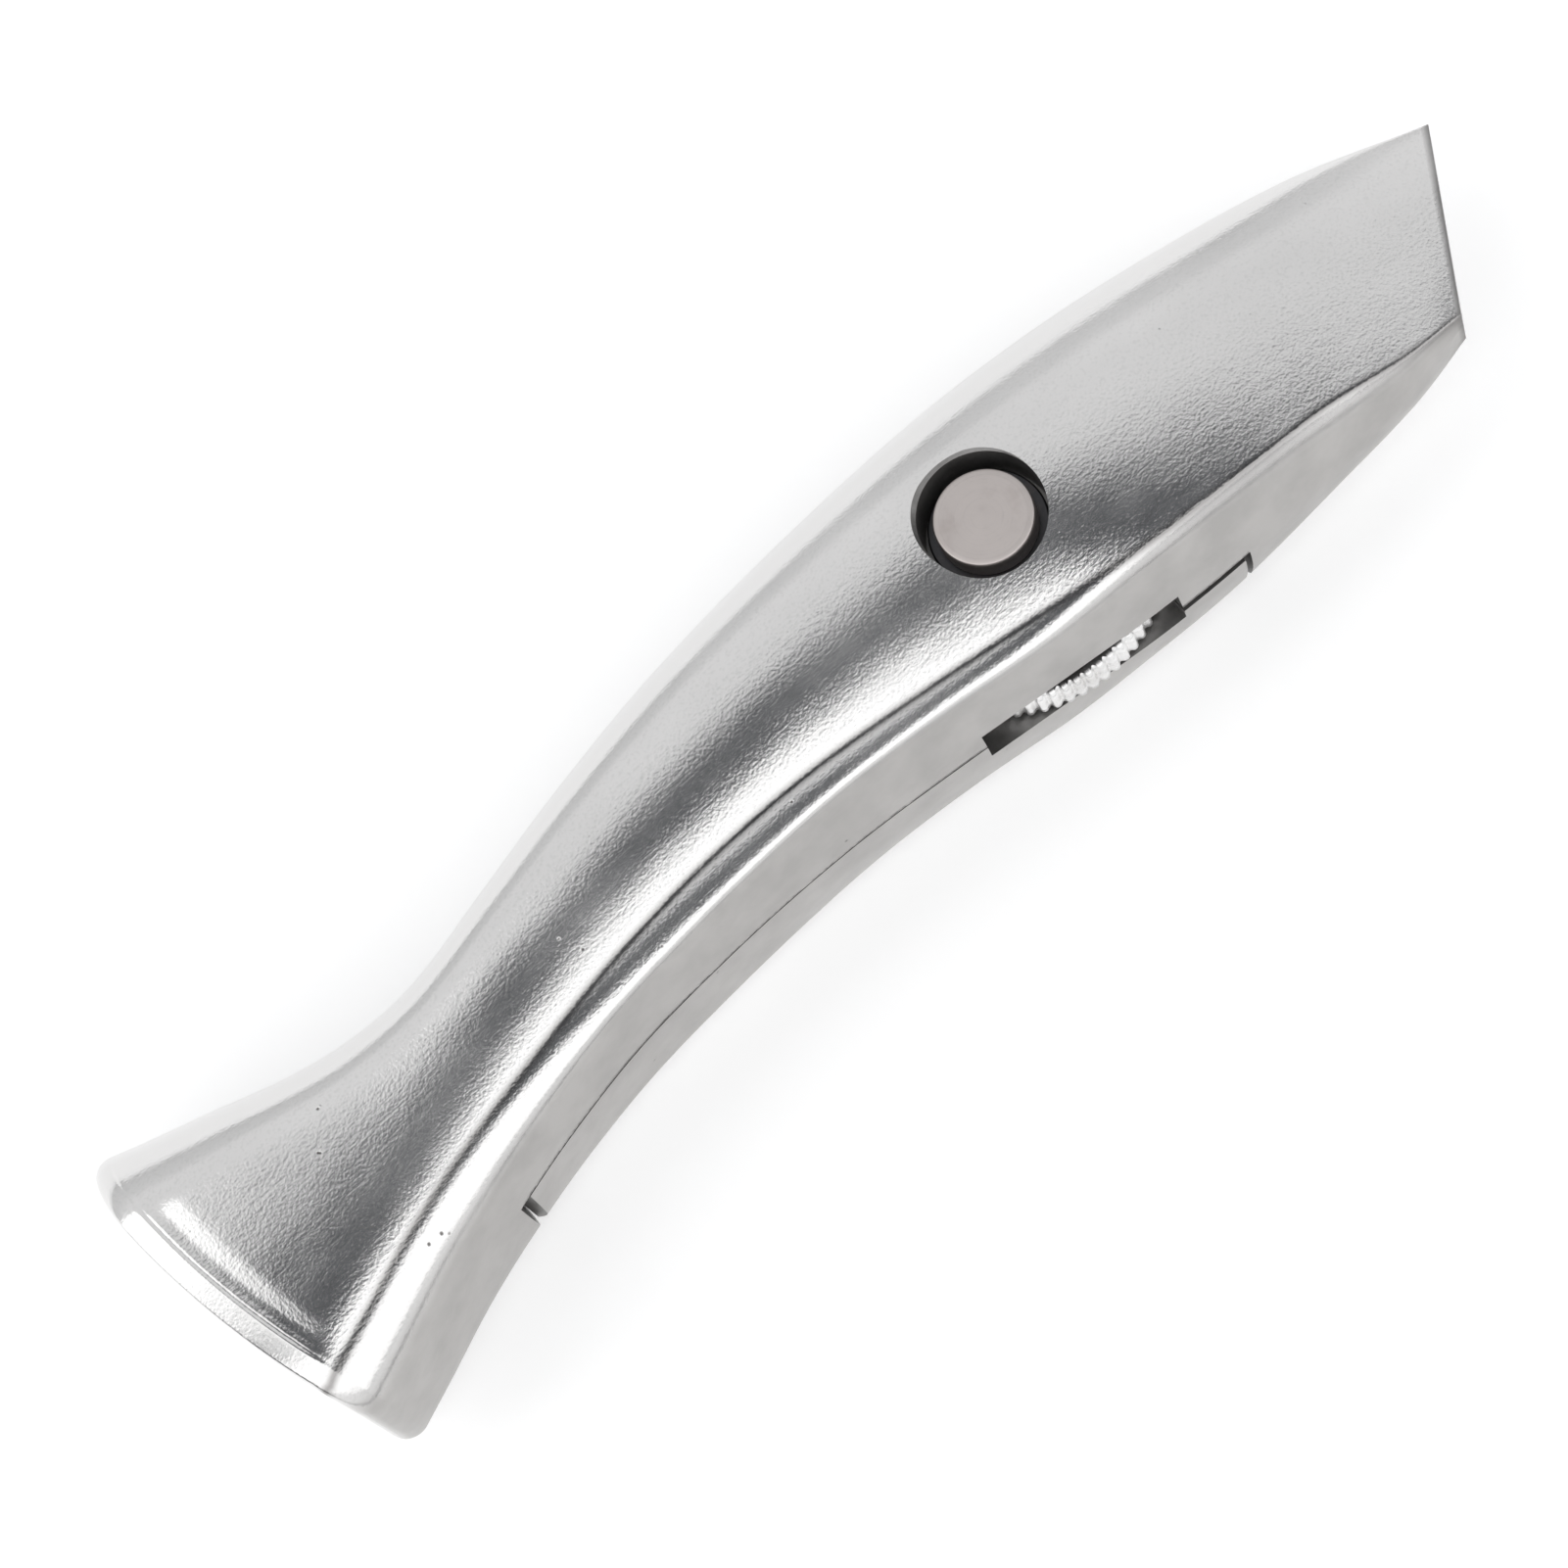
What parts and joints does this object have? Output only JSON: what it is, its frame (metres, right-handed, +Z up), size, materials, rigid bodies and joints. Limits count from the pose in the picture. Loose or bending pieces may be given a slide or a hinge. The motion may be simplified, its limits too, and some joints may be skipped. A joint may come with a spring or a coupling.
{
  "type": "utility knife",
  "caption": "Two-part cast utility knife whose halves open on a tail hinge when a toothed clamp wheel is unscrewed, with spare blades stored inside.",
  "frame": {"origin": "foot of the clamp screw's axis on the plane the knife lies on", "axes": "+X towards the blade end along the handle, +Y towards the curved back, +Z up through the side that shows the screw head, square to the parting plane"},
  "size_m": [0.1856, 0.0471, 0.0291],
  "materials": {
    "cast_body": "bright tumbled die casting with shallow pits and rub marks",
    "cast_cover": "tumbled die casting, slightly duller than the body",
    "screw_steel": "turned face with fine rings",
    "wheel_steel": "bright zinc-plated teeth",
    "pin_steel": "ground pin stock",
    "black_steel": "blackened steel",
    "spring_steel": "oiled spring strip",
    "bronze": "plain bearing bronze",
    "insert_steel": "plated steel insert",
    "blade_steel": "ground blade steel",
    "magnet": "nickel-plated disc",
    "rivet": "aluminium rivet"
  },
  "bodies": {
    "cover": {"cover_casting": "cast_cover", "thread_insert": "insert_steel", "magazine_spring": "spring_steel", "magazine_rivet": "rivet"},
    "body": {"body_casting": "cast_body", "screw_bush": "bronze", "hinge_pin": "pin_steel", "blade_peg_front": "pin_steel", "blade_peg_rear": "pin_steel", "magazine_magnet": "magnet", "spare_blade_1": "blade_steel", "spare_blade_2": "blade_steel", "spare_blade_3": "blade_steel", "spare_blade_4": "blade_steel", "spare_blade_5": "blade_steel", "disc_spring": "spring_steel"},
    "screw_lift": {"head_washer": "black_steel"},
    "clamp": {"clamp_screw": "screw_steel", "clamp_wheel": "wheel_steel", "wheel_key": "pin_steel", "retaining_ring": "black_steel"}
  },
  "joints": [
    {"name": "opening", "type": "hinge", "parent": "cover", "child": "body", "pos_m": [-0.0873, -0.0055, 0.0042], "axis": [0, -1, 0], "range_deg": [0, 25]},
    {"name": "screw_travel", "type": "slide", "parent": "body", "child": "screw_lift", "axis": [0, 0, 1], "range_m": [0, 0.000989], "stiffness_N_per_m": 10, "springref_m": 0.0375, "deforming": ["disc_spring"]},
    {"name": "wheel_turn", "type": "hinge", "parent": "screw_lift", "child": "clamp", "pos_m": [0, 0, 0.0144], "axis": [0, 0, 1], "range_deg": [0, 285]}
  ],
  "couplings": [
    {"joint": "wheel_turn", "follows": "screw_travel", "rad_per_m": 5026.5}
  ]
}
